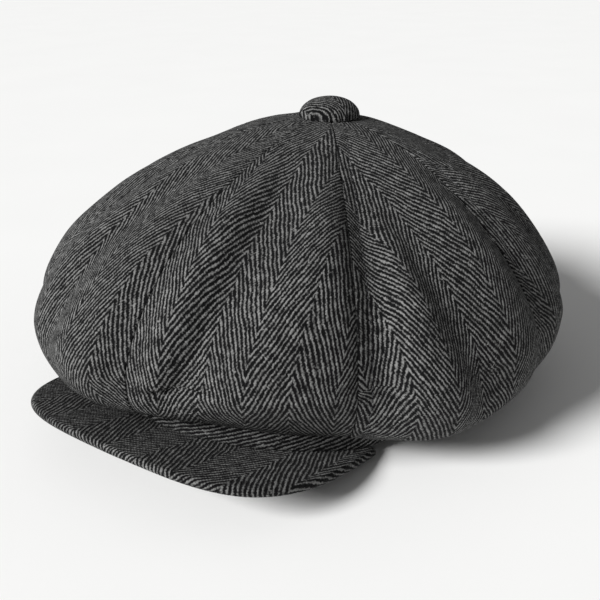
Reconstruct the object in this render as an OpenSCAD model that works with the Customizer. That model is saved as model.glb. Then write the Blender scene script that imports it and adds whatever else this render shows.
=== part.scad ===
// Eight-panel newsboy cap with a covered button, a narrow head band, an arched visor and a full lining.
// Origin: centre of the head opening, at the level of the head band's bottom edge. The cap faces -Y.

/* [Head opening] */
// Outside width of the head band, side to side
band_w = 176; // [166:2:186]
// Outside length of the head band, front to back
band_l = 214; // [204:2:222]
// Height of the head band
band_h = 9; // [7:0.5:13]
// Height of the sweatband inside the cap
sweatband_h = 32; // [26:1:38]

/* [Crown] */
// Widest width of the crown, side to side
crown_w = 258; // [246:2:276]
// Length of the crown at its widest line, front to back
crown_l = 266; // [256:2:284]
// Distance of the crown's middle in front of the opening's centre
crown_forward = 0; // [0:1:10]
// Height of the widest line above the head band's bottom edge
ring_h = 43; // [38:1:52]
// Height of the crown's peak above the head band's bottom edge
peak_h = 123; // [112:1:132]
// Distance of the peak behind the opening's centre
peak_back = 29; // [0:1:32]
// Swell of each panel between its two seams
panel_puff = 3; // [0:0.5:5]
// Droop of the crown's overhang at the sides and the back
droop = 8; // [0:1:10]
// How far the front panel over the wearer's left eye is pulled in towards the band, as a share
front_pull = 0.34; // [0:0.02:0.4]

/* [Visor] */
// Reach of the visor in front of the head band
visor_reach = 35; // [30:1:50]
// Plan angle of each end of the visor, from the front
visor_end = 52; // [46:1:60]
// Slope of the visor's seam, in degrees
visor_rise = 6; // [0:1:10]
// Rise of the visor in front of its seam, added to that slope, in degrees
visor_flare = 13; // [0:1:16]
// Radius of the visor's arch, side to side
arch_r = 400; // [200:20:600]
// Squareness of the visor's outline, 2 is an ellipse
visor_square = 3.4; // [2.4:0.1:4]

/* [Button] */
// Diameter of the covered button
button_d = 31; // [26:1:34]
// Height of the covered button
button_h = 10; // [8:1:13]

/* [Cloth] */
// Thickness of the tweed
tweed_t = 1.2; // [0.8:0.1:1.6]
// Thickness of the lining
lining_t = 0.5; // [0.4:0.1:0.8]
// Thickness of the visor board
board_t = 1.6; // [1.2:0.1:2.4]

/* [Hidden] */

tweed = [0.24, 0.24, 0.24];
satin = [0.10, 0.10, 0.11];
canvas = [0.80, 0.77, 0.70];
cotton = [0.13, 0.13, 0.14];
board = [0.16, 0.16, 0.16];
tinned = [0.66, 0.66, 0.64];
label = [0.55, 0.54, 0.50];

panels = 8;
panel_deg = 360 / panels;
panel_steps = 8;        // strips across one crown panel
meridian_steps = 15;    // strips from the peak to the head band
lining_steps = 4;       // strips across one lining gore
lining_rows = 10;       // strips down one lining gore
band_steps = 8;         // strips of a band to each panel's width
visor_steps = 28;       // strips across the visor
visor_rows = 5;         // strips from the visor's seam to its edge
peak_gap = 5;           // radius of the hole that the panels leave for the shank
body_gap = 0.4;         // clearance between the visor and the head band
layer_gap = 0.4;        // clearance between two layers of one body
glue_gap = 0.1;         // clearance between two layers of the visor
probe = 0.01;           // step of the numerical derivatives

// ---------- Plan shapes ----------
// A plan angle t runs from the front (-Y) towards the wearer's left (+X).
function plan(t) = [sin(t), -cos(t)];
function oval_r(t, in) = 1 / sqrt(pow(sin(t) / (band_w / 2 - in), 2) + pow(cos(t) / (band_l / 2 - in), 2));
function oval(t, in) = oval_r(t, in) * plan(t);
function ring(t, in) = [(crown_w / 2 - in) * sin(t), -(crown_l / 2 - in) * cos(t) - crown_forward];
function front_share(t) = (1 + cos(t)) / 2;

// ---------- Seam of the visor ----------
// forward is the distance in front of the opening's centre.
end_x = oval(visor_end, 0).x;
end_forward = -oval(visor_end, 0).y;
seam_forward = band_l / 2;
function visor_z(x, forward) =
    (end_x * end_x - x * x) / (2 * arch_r) + tan(visor_rise) * (forward - end_forward);
function wrapped(t) = t - 360 * round(t / 360);
function lift(t) =
    abs(wrapped(t)) < visor_end ? visor_z(oval(t, 0).x, -oval(t, 0).y) : 0;

// ---------- Crown surface ----------
// s runs from 0 at the peak to 1 at the widest line and 2 at the head band.
function smooth_step(x, from, to) =
    let (share = min(max((x - from) / (to - from), 0), 1)) share * share * (3 - 2 * share);
// Where the crown runs straight down to the band, 1, and where it hangs in a full roll, 0.
function tautness(t) = smooth_step(wrapped(t), -12, 20) * (1 - smooth_step(wrapped(t), 40, 68));
function pulled(rim, seam, t, s) = rim + (seam - rim) * front_pull * tautness(t) * smooth_step(s, 0.45, 1);
function roll_power(t) = 2 / (2 - 0.85 * tautness(t));
function sag(t) = droop * (1 - pow(front_share(t), 3) + 0.6 * pow(front_share(t + 48), 6));
function puff(t, s) = panel_puff * abs(sin(t * panels / 2)) * sin(min(s, 2 - s) * 90);
function dome(t, s) =
    let (u = sin(90 * s), rim = pulled(ring(t, 0) + puff(t, s) * plan(t), oval(t, 0), t, s))
    [
        u * rim.x,
        peak_back * (1 - u) + u * rim.y,
        ring_h + (peak_h - ring_h) * pow(1 - pow(u, dome_p(t)), 1 / dome_q(t))
    ];
// Roundness of the dome: it is fuller towards the front than towards the back.
function dome_p(t) = 2.16 + 0.08 * cos(t);
function dome_q(t) = 1.52 + 0.08 * cos(t);
function overhang(t, s) =
    let (
        a = 90 * (s - 1),
        seam = oval(t, 0),
        rim = pulled(ring(t, 0) + puff(t, s) * plan(t), seam, t, s),
        at = seam + (rim - seam) * pow(max(cos(a), 0), roll_power(t)),
        seam_z = lift(t) + band_h
    )
    [at.x, at.y, ring_h - (ring_h - seam_z) * pow(sin(a), roll_power(t)) - sag(t) * sin(2 * a)];
function crown(t, s) = s < 1 ? dome(t, s) : overhang(t, s);

// ---------- Lining surface: a little smaller than the crown all round ----------
lining_in = 6;
lining_foot_in = tweed_t + layer_gap;
function lining(t, s) =
    let (
        a = 90 * min(s, 1),
        b = 90 * max(s - 1, 0),
        foot = oval(t, lining_foot_in),
        rim = pulled(ring(t, lining_in), foot, t, s),
        at = foot + (rim - foot) * pow(max(cos(b), 0), roll_power(t))
    )
    s < 1
        ? [
            sin(a) * rim.x,
            peak_back * (1 - sin(a)) + sin(a) * rim.y,
            ring_h + (peak_h - lining_in - ring_h) * pow(1 - pow(sin(a), dome_p(t)), 1 / dome_q(t))
        ]
        : [at.x, at.y, ring_h - (ring_h - lift(t) - band_h - lining_in / 2) * pow(sin(b), roll_power(t))];

// ---------- Skins: a surface moved inwards along its normal ----------
function unit(v) = v / norm(v);
function crown_normal(t, s) = unit(cross(
    crown(t, min(s + probe, 2)) - crown(t, s - probe),
    crown(t + 1, s) - crown(t - 1, s)
));
function lining_normal(t, s) = unit(cross(
    lining(t, min(s + probe, 2)) - lining(t, s - probe),
    lining(t + 1, s) - lining(t - 1, s)
));
function crown_skin(t, s, in) = crown(t, s) - in * crown_normal(t, s);
function lining_skin(t, s, in) = lining(t, s) - in * lining_normal(t, s);

function steps(from, to, n) = [for (i = [0:n]) from + (to - from) * i / n];

// A closed solid between two grids of points with the same rows and columns.
module slab(outer, inner) {
    columns = len(outer) - 1;
    rows = len(outer[0]) - 1;
    width = rows + 1;
    back = (columns + 1) * width;
    points = concat([for (c = outer) for (p = c) p], [for (c = inner) for (p = c) p]);
    skins = [
        for (i = [0:columns - 1]) for (j = [0:rows - 1])
            let (a = i * width + j, b = a + width)
            each [
                [a, b, b + 1], [a, b + 1, a + 1],
                [back + a, back + b + 1, back + b], [back + a, back + a + 1, back + b + 1]
            ]
    ];
    ends = [
        for (j = [0:rows - 1])
            let (a = j, b = columns * width + j)
            each [
                [a, a + 1, back + a + 1], [a, back + a + 1, back + a],
                [b + 1, b, back + b + 1], [back + b + 1, b, back + b]
            ]
    ];
    rims = [
        for (i = [0:columns - 1])
            let (a = i * width, b = a + width, d = a + rows, c = d + width)
            each [
                [b, a, back + a], [b, back + a, back + b],
                [d, c, back + c], [d, back + c, back + d]
            ]
    ];
    polyhedron(points = points, faces = concat(skins, ends, rims), convexity = 8);
}

// ---------- Crown ----------
peak_s = asin(peak_gap / (crown_w / 2)) / 90;

module crown_panel(k) {
    angles = steps(panel_deg * (k - 1), panel_deg * k, panel_steps);
    rows = concat([peak_s], steps(peak_s + 0.06, 2, meridian_steps));
    color(tweed)
        slab(
            [for (t = angles) [for (s = rows) crown_skin(t, s, 0)]],
            [for (t = angles) [for (s = rows) crown_skin(t, s, tweed_t)]]
        );
}

function lining_rows_list() = steps(peak_s, 2, lining_rows);

module lining_gore(k) {
    angles = steps(panel_deg * (k - 1), panel_deg * k, lining_steps);
    rows = lining_rows_list();
    color(satin)
        slab(
            [for (t = angles) [for (s = rows) lining_skin(t, s, 0)]],
            [for (t = angles) [for (s = rows) lining_skin(t, s, lining_t)]]
        );
}

// Blank label on the inside of the lining, at the back. It covers one row of the lining, a strip to each side.
label_row = 2;
module lining_label() {
    half_deg = panel_deg / lining_steps;
    angles = steps(180 - half_deg, 180 + half_deg, 2);
    rows = [lining_rows_list()[label_row], lining_rows_list()[label_row + 1]];
    inside = lining_t + layer_gap;
    color(label)
        slab(
            [for (t = angles) [for (s = rows) lining_skin(t, s, inside)]],
            [for (t = angles) [for (s = rows) lining_skin(t, s, inside + lining_t)]]
        );
}

// ---------- Bands ----------
// An upright strip that follows the head oval between two plan angles.
module band(from, to, in, thick, low, high) {
    angles = steps(from, to, round((to - from) / panel_deg * band_steps));
    function edge(t, in, z) = [oval(t, in).x, oval(t, in).y, lift(t) + z];
    slab(
        [for (t = angles) [edge(t, in, high), edge(t, in, low)]],
        [for (t = angles) [edge(t, in + thick, high), edge(t, in + thick, low)]]
    );
}

band_front_end = panel_deg;
butt_deg = 0.15;        // half the gap where the ends of a ring meet at the back

module head_band_front() {
    color(tweed) band(-band_front_end, band_front_end, 0, tweed_t, 0, band_h + tweed_t);
}

module head_band_back() {
    color(tweed) band(band_front_end, 360 - band_front_end, 0, tweed_t, 0, band_h + tweed_t);
}

stiffener_in = tweed_t + layer_gap + lining_t + layer_gap;
stiffener_t = 0.8;
module band_stiffener() {
    color(canvas) band(180 + butt_deg, 540 - butt_deg, stiffener_in, stiffener_t, 1, band_h);
}

sweatband_in = stiffener_in + stiffener_t + layer_gap;
sweatband_t = 1.2;
module sweatband() {
    color(cotton) band(180 + butt_deg, 540 - butt_deg, sweatband_in, sweatband_t, 0, sweatband_h);
}

// ---------- Visor ----------
end_width = 3;          // width of the visor at each end of its seam
function edge_plan(u) =
    let (a = 90 * abs(u), m = 2 / visor_square, tip = seam_forward + visor_reach)
    [
        sign(u) * (end_x + end_width) * pow(sin(a), m),
        end_forward + (tip - end_forward) * pow(max(cos(a), 0), m)
    ];
function visor_point(u, v, inset, drop) =
    let (
        seam = [oval(u * visor_end, 0).x, -oval(u * visor_end, 0).y],
        edge = edge_plan(u),
        gap = norm(edge - seam),
        at = seam + (edge - seam) * v * (gap - min(inset, gap * 0.3)) / gap,
        flare = tan(visor_flare) * norm(at - seam)
    )
    [at.x, -at.y, visor_z(at.x, at.y) + flare - body_gap - drop];

module visor_layer(inset, top, thick) {
    across = steps(-1, 1, visor_steps);
    out = steps(0, 1, visor_rows);
    slab(
        [for (u = across) [for (v = out) visor_point(u, v, inset, top)]],
        [for (u = across) [for (v = out) visor_point(u, v, inset, top + thick)]]
    );
}

module visor_top() {
    color(tweed) visor_layer(0, 0, tweed_t);
}

module visor_board() {
    color(board) visor_layer(3, tweed_t + glue_gap, board_t);
}

module visor_under() {
    color(tweed) visor_layer(0, tweed_t + board_t + 2 * glue_gap, tweed_t);
}

// ---------- Button ----------
button_r = button_d / 2;
shank_r = 2.6;
shank_bore_r = 1.4;
shank_l = 3;
plate_z = peak_h + 0.3;
plate_t = 0.8;
shell_t = 0.5;

// Cross-section of a shallow dome of radius r and height h, standing on z = 0
module dome_section(r, h) {
    ball_r = (r * r + h * h) / (2 * h);
    intersection() {
        translate([0, h - ball_r]) circle(r = ball_r, $fn = 72);
        square([r, h]);
    }
}

module at_peak() {
    translate([0, peak_back, plate_z]) children();
}

module button_cover() {
    color(tweed)
        at_peak()
            rotate_extrude($fn = 72)
                difference() {
                    dome_section(button_r, button_h);
                    dome_section(button_r - tweed_t, button_h - tweed_t);
                }
}

module button_shell() {
    outer_r = button_r - tweed_t;
    outer_h = button_h - tweed_t;
    color(tinned)
        at_peak()
            rotate_extrude($fn = 72)
                difference() {
                    dome_section(outer_r, outer_h);
                    dome_section(outer_r - shell_t, outer_h - shell_t);
                }
}

module button_back() {
    plate_r = button_r - tweed_t - shell_t - 1;
    color(tinned)
        at_peak()
            rotate_extrude($fn = 48)
                union() {
                    translate([shank_bore_r, 0]) square([plate_r - shank_bore_r, plate_t]);
                    translate([shank_bore_r, -shank_l]) square([shank_r - shank_bore_r, shank_l]);
                }
}

module button_thread() {
    thread_r = 1.2;
    knot_r = 4;
    knot_t = 1;
    thread_l = 5.5;
    color(tweed)
        at_peak()
            rotate_extrude($fn = 32)
                union() {
                    translate([0, -thread_l]) square([thread_r, thread_l + plate_t + 1]);
                    translate([0, -thread_l]) square([knot_r, knot_t]);
                }
}

crown_panel(1);  // crown_panel_1
crown_panel(2);  // crown_panel_2
crown_panel(3);  // crown_panel_3
crown_panel(4);  // crown_panel_4
crown_panel(5);  // crown_panel_5
crown_panel(6);  // crown_panel_6
crown_panel(7);  // crown_panel_7
crown_panel(8);  // crown_panel_8
button_cover();
button_shell();
button_back();
button_thread();
head_band_front();
head_band_back();
band_stiffener();
sweatband();
visor_board();
visor_top();
visor_under();
lining_gore(1);  // lining_gore_1
lining_gore(2);  // lining_gore_2
lining_gore(3);  // lining_gore_3
lining_gore(4);  // lining_gore_4
lining_gore(5);  // lining_gore_5
lining_gore(6);  // lining_gore_6
lining_gore(7);  // lining_gore_7
lining_gore(8);  // lining_gore_8
lining_label();
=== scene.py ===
import math

import bmesh
import bpy
import numpy as np
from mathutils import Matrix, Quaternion, Vector, noise


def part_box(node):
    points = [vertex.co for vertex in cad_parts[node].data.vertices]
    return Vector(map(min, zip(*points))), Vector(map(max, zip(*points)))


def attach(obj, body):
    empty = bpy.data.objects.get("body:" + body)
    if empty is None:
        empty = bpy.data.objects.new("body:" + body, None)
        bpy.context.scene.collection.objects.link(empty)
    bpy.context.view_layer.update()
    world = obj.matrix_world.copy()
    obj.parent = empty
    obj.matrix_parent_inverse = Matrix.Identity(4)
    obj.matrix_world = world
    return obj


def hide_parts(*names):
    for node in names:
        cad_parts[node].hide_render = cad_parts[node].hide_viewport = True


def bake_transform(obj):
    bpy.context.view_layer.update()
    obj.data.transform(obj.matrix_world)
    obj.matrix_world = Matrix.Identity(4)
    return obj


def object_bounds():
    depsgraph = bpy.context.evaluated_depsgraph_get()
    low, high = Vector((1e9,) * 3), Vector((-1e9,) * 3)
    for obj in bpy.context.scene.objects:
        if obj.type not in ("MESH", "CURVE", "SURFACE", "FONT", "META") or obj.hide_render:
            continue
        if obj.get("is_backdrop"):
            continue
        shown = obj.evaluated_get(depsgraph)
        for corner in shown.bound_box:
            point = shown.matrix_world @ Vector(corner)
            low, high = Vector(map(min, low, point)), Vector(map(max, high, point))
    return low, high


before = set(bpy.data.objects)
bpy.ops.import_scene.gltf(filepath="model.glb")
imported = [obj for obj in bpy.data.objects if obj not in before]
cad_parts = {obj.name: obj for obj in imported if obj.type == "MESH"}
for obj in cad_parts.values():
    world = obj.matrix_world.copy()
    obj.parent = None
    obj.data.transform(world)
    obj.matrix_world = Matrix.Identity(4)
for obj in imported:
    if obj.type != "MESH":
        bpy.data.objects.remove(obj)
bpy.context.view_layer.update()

bl_info = {
    "name": "Newsboy Cap",
    "version": (1, 0, 0),
    "blender": (4, 5, 0),
    "location": "3D View > Sidebar > Cap",
    "description": "Eight-panel wool newsboy cap with a covered button, an arched visor and a full lining",
    "category": "Add Mesh",
}

MM = 0.001
PANELS = 8
PANEL_ANGLE = 2 * math.pi / PANELS
SEED = 11


# ---------- Sizes and colours ----------


def width_of(node, axis):
    """Width of a node along an axis, from the frame."""
    low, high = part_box(node)
    return high[axis] - low[axis]


def metres(name, text, default, unit="LENGTH"):
    return bpy.props.FloatProperty(
        name=name, description=text, default=default, unit=unit, precision=5
    )


def colour(name, text, default):
    return bpy.props.StringProperty(name=name, description=text, default=default)


class CapSizes(bpy.types.PropertyGroup):
    """Sizes of the cap, in metres and radians. The ones that the frame holds are read from it."""

    band_w: metres("Band width", "Outside width of the head band", width_of("head_band_back", 0))
    band_l: metres(
        "Band length",
        "Outside length of the head band, front to back",
        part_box("head_band_back")[1].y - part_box("head_band_front")[0].y,
    )
    band_h: metres("Band height", "Height of the head band below the crown's seam", 0.009)
    sweatband_h: metres("Sweatband height", "Height of the inner band", 0.032)
    crown_w: metres("Crown width", "Widest width of the crown", 0.258)
    crown_l: metres("Crown length", "Length of the crown at its widest line", 0.266)
    crown_forward: metres("Crown forward", "How far the crown's middle sits in front", 0.0)
    ring_h: metres("Widest line", "Height of the crown's widest line", 0.043)
    peak_h: metres("Peak height", "Height of the crown's peak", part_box("button_cover")[0].z - 0.0003)
    peak_back: metres(
        "Peak back",
        "How far the peak sits behind the middle of the head opening",
        (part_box("button_cover")[0].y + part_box("button_cover")[1].y) / 2,
    )
    panel_puff: metres("Panel swell", "Swell of each panel between its seams", 0.003)
    droop: metres("Droop", "Droop of the overhang at the sides and the back", 0.008)
    front_pull: bpy.props.FloatProperty(
        name="Front pull",
        description="How far the panel over the wearer's left eye is pulled in to the band, as a share",
        default=0.34,
    )
    visor_reach: metres("Visor reach", "Reach of the visor in front of the head band", 0.035)
    visor_end: metres("Visor end", "Plan angle of the visor's ends", math.radians(52), "ROTATION")
    visor_rise: metres("Visor rise", "Rise of the visor to its tip", math.radians(6), "ROTATION")
    visor_flare: metres(
        "Visor flare", "Rise of the visor in front of its seam", math.radians(13), "ROTATION"
    )
    arch_r: metres("Visor arch", "Radius of the visor's arch, side to side", 0.4)
    visor_square: bpy.props.FloatProperty(
        name="Visor squareness", description="Squareness of the visor's outline", default=3.4
    )
    button_d: metres("Button", "Diameter of the covered button", width_of("button_cover", 0))
    button_h: metres("Button height", "Height of the covered button", width_of("button_cover", 2))
    tweed_t: metres("Tweed", "Thickness of the tweed", 0.0012)
    lining_t: metres("Lining", "Thickness of the lining", 0.0005)
    stitch_l: metres("Stitch length", "Distance from one stitch to the next", 0.0032)
    topstitch_off: metres("Topstitch", "Distance of the topstitching from its seam", 0.0055)


class CapColours(bpy.types.PropertyGroup):
    """Colours of the cap, as sRGB hex values."""

    tweed_dark: colour("Dark yarn", "Charcoal yarn of the tweed", "080809")
    tweed_mid: colour("Middle yarn", "Where the two yarns of the tweed mix", "1a1a1b")
    tweed_light: colour("Light yarn", "Light grey yarn of the tweed", "525251")
    tweed_top: colour("Lightest yarn", "Raised fibres of the light yarn", "7f7f7e")
    thread: colour("Thread", "Sewing thread", "1b1b1d")
    lining: colour("Lining", "Satin lining", "17171a")
    sweatband: colour("Sweatband", "Ribbed cotton of the inner band", "1d1d20")
    canvas: colour("Canvas", "Canvas stiffener of the head band", "b9b09b")
    label: colour("Label", "Woven label", "8d8a80")
    metal: colour("Button metal", "Tinned steel of the button", "b4b4b0")
    board: colour("Visor board", "Plastic board inside the visor", "26282b")
    floor: colour("Floor", "Studio floor", "fbfbfa")


def sizes():
    return bpy.context.scene.cap_sizes


def colours():
    return bpy.context.scene.cap_colours


# ---------- Surfaces of the cap ----------
# A plan angle t runs from the front (-Y) towards the wearer's left (+X). s runs from 0 at the peak to 1 at
# the widest line and 2 at the head band's seam. All of them take arrays.


def oval(t, inside=0.0):
    z = sizes()
    across, along = z.band_w / 2 - inside, z.band_l / 2 - inside
    r = 1 / np.sqrt((np.sin(t) / across) ** 2 + (np.cos(t) / along) ** 2)
    return r * np.sin(t), -r * np.cos(t)


def visor_height(x, forward):
    z = sizes()
    end_x, end_y = oval(z.visor_end)
    return (end_x**2 - x**2) / (2 * z.arch_r) + math.tan(z.visor_rise) * (forward + end_y)


def lift(t):
    """Height of the head band's bottom edge, which arches up over the visor."""
    turned = (t + np.pi) % (2 * np.pi) - np.pi
    x, y = oval(t)
    return np.where(np.abs(turned) < sizes().visor_end, visor_height(x, -y), 0.0)


def ring(t, inside=0.0):
    z = sizes()
    return (
        (z.crown_w / 2 - inside) * np.sin(t),
        -(z.crown_l / 2 - inside) * np.cos(t) - z.crown_forward,
    )


def smooth_step(x, start, end):
    x = np.clip((x - start) / (end - start), 0, 1)
    return x * x * (3 - 2 * x)


def tautness(t):
    """Where the crown runs straight down to the head band, 1, and where it hangs in a full roll, 0."""
    turned = np.degrees((t + np.pi) % (2 * np.pi) - np.pi)
    return smooth_step(turned, -12, 20) * (1 - smooth_step(turned, 40, 68))


def shell(t, s, inside, swell, foot_in, foot_up, sag):
    """The crown's surface, or the lining's a little inside it."""
    z = sizes()
    t, s = np.broadcast_arrays(np.asarray(t, float), np.asarray(s, float))
    ring_x, ring_y = ring(t, inside)
    puff = swell * np.abs(np.sin(t * PANELS / 2)) * np.sin(np.minimum(s, 2 - s) * np.pi / 2)
    rim_x, rim_y = ring_x + puff * np.sin(t), ring_y - puff * np.cos(t)
    foot_x, foot_y = oval(t, foot_in)
    pull = z.front_pull * tautness(t) * smooth_step(s, 0.45, 1.0)
    rim_x, rim_y = rim_x + (foot_x - rim_x) * pull, rim_y + (foot_y - rim_y) * pull
    u = np.sin(np.clip(s, 0, 1) * np.pi / 2)
    p, q = 2.16 + 0.08 * np.cos(t), 1.52 + 0.08 * np.cos(t)
    rise = (z.peak_h - inside - z.ring_h) * np.clip(1 - u**p, 0, 1) ** (1 / q)
    dome = np.stack([u * rim_x, z.peak_back * (1 - u) + u * rim_y, z.ring_h + rise], -1)
    a = np.pi / 2 * np.clip(s - 1, 0, 1)
    foot_z = lift(t) + z.band_h + foot_up
    front_right = (1 + np.cos(t + math.radians(48))) / 2
    drop = (sag * (1 - ((1 + np.cos(t)) / 2) ** 3) + 0.6 * sag * front_right**6) * np.sin(2 * a)
    power = 2 / (2 - 0.85 * tautness(t))
    out, down = np.clip(np.cos(a), 0, 1) ** power, np.sin(a) ** power
    under = np.stack(
        [
            foot_x + (rim_x - foot_x) * out,
            foot_y + (rim_y - foot_y) * out,
            z.ring_h - (z.ring_h - foot_z) * down - drop,
        ],
        -1,
    )
    return np.where((s < 1)[..., None], dome, under)


def crown(t, s):
    z = sizes()
    return shell(t, s, inside=0.0, swell=z.panel_puff, foot_in=0.0, foot_up=0.0, sag=z.droop)


def lining(t, s):
    """The lining's surface: the crown's, a little further in and without its swell or droop."""
    return shell(t, s, inside=0.006, swell=0.0, foot_in=0.0016, foot_up=0.003, sag=0.0)


def normals_of(surface, t, s):
    """Outward normals of a surface, from small steps either way."""
    dt, ds = 0.004, 0.004
    along = surface(t, np.minimum(s + ds, 2)) - surface(t, np.maximum(s - ds, 0.01))
    across = surface(t + dt, s) - surface(t - dt, s)
    n = np.cross(along, across)
    return n / np.linalg.norm(n, axis=-1, keepdims=True)


def soft(points, scale, seed):
    """Smooth noise at each point, from -1 to 1. scale is the size of its lumps."""
    flat = points.reshape(-1, 3) / scale
    values = [noise.noise(Vector((p[0] + seed, p[1] - seed, p[2] + 2 * seed))) for p in flat]
    return np.array(values).reshape(points.shape[:-1])


def bell(x, middle, half_width):
    """A smooth hump that is 1 in the middle and dies away to each side."""
    return np.exp(-(((x - middle) / half_width) ** 2))


# ---------- Meshes ----------


def grid_normals(points):
    """The normal at each point of a grid."""
    n = np.cross(np.gradient(points, axis=1), np.gradient(points, axis=0))
    length = np.linalg.norm(n, axis=-1, keepdims=True)
    return n / np.maximum(length, 1e-12)


def new_object(name, points, faces, material):
    mesh = bpy.data.meshes.new(name)
    mesh.from_pydata(points.tolist(), [], faces)
    mesh.shade_smooth()
    mesh.materials.append(material)
    obj = bpy.data.objects.new(name, mesh)
    bpy.context.scene.collection.objects.link(obj)
    return obj


def map_weave(mesh, corners):
    """Gives each corner of the mesh its place in the cloth, in metres."""
    layer = mesh.uv_layers.new(name="weave")
    layer.data.foreach_set("uv", corners.astype(np.float32).reshape(-1))


def close_mesh(mesh):
    """Merges doubled points and turns every face outwards."""
    bm = bmesh.new()
    bm.from_mesh(mesh)
    bmesh.ops.remove_doubles(bm, verts=bm.verts, dist=1e-7)
    bmesh.ops.recalc_face_normals(bm, faces=bm.faces)
    bm.to_mesh(mesh)
    bm.free()


def slab(name, outer, inner, uv, material):
    """A closed sheet of cloth between two grids of points, with its UV map in metres."""
    columns, rows = outer.shape[:2]
    points = np.concatenate([outer.reshape(-1, 3), inner.reshape(-1, 3)])
    index = np.arange(columns * rows).reshape(columns, rows)
    back = index + columns * rows
    a, b, c, d = index[:-1, :-1], index[1:, :-1], index[1:, 1:], index[:-1, 1:]
    quads = [np.stack([a, b, c, d], -1).reshape(-1, 4)]
    a, b, c, d = back[:-1, :-1], back[1:, :-1], back[1:, 1:], back[:-1, 1:]
    quads.append(np.stack([a, d, c, b], -1).reshape(-1, 4))
    for edge, far, turn in (
        (index[:, 0], back[:, 0], 1),
        (index[:, -1], back[:, -1], -1),
        (index[0], back[0], -1),
        (index[-1], back[-1], 1),
    ):
        strip = np.stack([edge[:-1], far[:-1], far[1:], edge[1:]], -1)
        quads.append(strip[:, ::turn])
    faces = np.concatenate(quads)
    obj = new_object(name, points, faces.tolist(), material)
    both_sides = np.concatenate([uv.reshape(-1, 2)] * 2)
    map_weave(obj.data, both_sides[faces.reshape(-1)])
    close_mesh(obj.data)
    return obj


def sheet_from(name, outer, thickness, uv, material):
    """A closed sheet whose second skin lies inside the first one."""
    return slab(name, outer, outer - thickness * grid_normals(outer), uv, material)


def arc_lengths(points, axis):
    """Distance travelled from the first point to each one, along an axis of the grid."""
    steps = np.linalg.norm(np.diff(points, axis=axis), axis=-1)
    start = np.zeros_like(np.take(steps, [0], axis=axis))
    return np.concatenate([start, np.cumsum(steps, axis=axis)], axis=axis)


def turned_uv(u, v, turn, shift_u=0.0, shift_v=0.0):
    """Places in the cloth, with the grain turned and shifted."""
    c, s = math.cos(turn), math.sin(turn)
    return np.stack([c * u + s * v + shift_u, -s * u + c * v + shift_v], -1)


def dress(nodes):
    """Hides the CAD nodes that a piece shows in their stead."""
    if nodes:
        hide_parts(*nodes)


def soft_piece(obj, slot, *nodes):
    """Hides the nodes that the piece shows in their stead and bakes its place into its mesh."""
    dress(nodes)
    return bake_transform(obj)


def riding_piece(obj, body, slot, *nodes):
    dress(nodes)
    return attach(obj, body)


# ---------- Crown ----------

PEAK_HOLE = 0.005  # radius of the hole that the panels leave for the button's shank
SEAM_ROLL = 0.0018  # width of the rounded edge beside a seam
SEAM_DEPTH = 0.0007  # depth of the groove that two rolled edges make
DENT, SMALL_DENT = 0.0016, 0.0007  # depth of the crown's soft dents
GATHER = 0.0009  # depth of the gathers above the head band
PUCKER = 0.00035  # depth of the puckers beside a seam, and of the line that the topstitching pulls in
PANEL_COLUMNS = 69
# Turn of the grain in each panel, in degrees, and its shift across, in mm: panels are cut one by one.
GRAIN_TURN = (8, -9, -12, 5, -6, 7, -4, -5)
GRAIN_SHIFT = (8, 3, -4, 6, 1, -7, 4, -2)
# The hollows of the slack crown, along its seams and down the middle of its panels: plan angle near the top
# and at the widest line in degrees, depth in mm, and half width to each side in mm.
HOLLOWS = (
    (0, -1, 3.5, 10, 12),
    (22, 11, 7.5, 8, 17),
    (49, 50, 8.5, 11, 9),
    (59, 69, 7.5, 10, 20),
    (88, 92, 4.5, 12, 13),
    (114, 109, 5.5, 10, 13),
    (135, 136, 5.0, 13, 12),
    (155, 161, 5.0, 12, 12),
    (180, 180, 5.0, 13, 13),
    (203, 199, 5.5, 11, 13),
    (225, 225, 5.0, 13, 13),
    (250, 246, 5.5, 12, 11),
    (270, 270, 4.5, 13, 13),
    (290, 296, 4.0, 11, 12),
    (315, 315, 3.5, 11, 12),
    (339, 335, 3.5, 10, 12),
)


def hollow_height(t, s, spread):
    """How far the crown's hollows lie below its plain surface."""
    height = np.zeros(np.shape(t))
    for top, widest, depth, before, after in HOLLOWS:
        middle = np.radians(top + (widest - top) * np.clip((s - 0.3) / 0.7, -0.3, 1.2))
        away = ((t - middle + np.pi) % (2 * np.pi) - np.pi) * spread
        height = height - depth * MM * bell(away, 0, np.where(away < 0, before, after) * MM)
    return height * smooth_step(s, 0.12, 0.45) * smooth_step(-s, -1.5, -1.0)


def spread_of(t, s):
    """Distance across the crown for each radian of plan angle."""
    step = 0.002
    return np.linalg.norm(crown(t + step, s) - crown(t - step, s), axis=-1) / (2 * step)


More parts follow.
